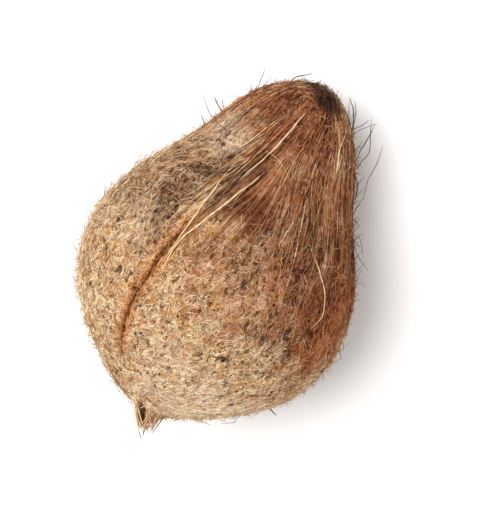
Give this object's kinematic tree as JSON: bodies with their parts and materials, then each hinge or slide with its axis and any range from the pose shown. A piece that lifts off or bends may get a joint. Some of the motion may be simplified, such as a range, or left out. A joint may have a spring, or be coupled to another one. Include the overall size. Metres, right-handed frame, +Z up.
{
  "type": "coconut",
  "caption": "Mature coconut with its fibrous coir husk still on, tear-shaped with a blunt snout, lying on its side.",
  "frame": {"origin": "middle of the bounding box's underside, on the surface that the nut lies on", "axes": "+X along the nut from the rounded blossom end to the narrow stem end, +Z up"},
  "size_m": [0.1454, 0.113, 0.1114],
  "materials": {
    "coir": "matte, dry and fibrous"
  },
  "bodies": {
    "root": {"coconut": "coir"}
  },
  "joints": []
}
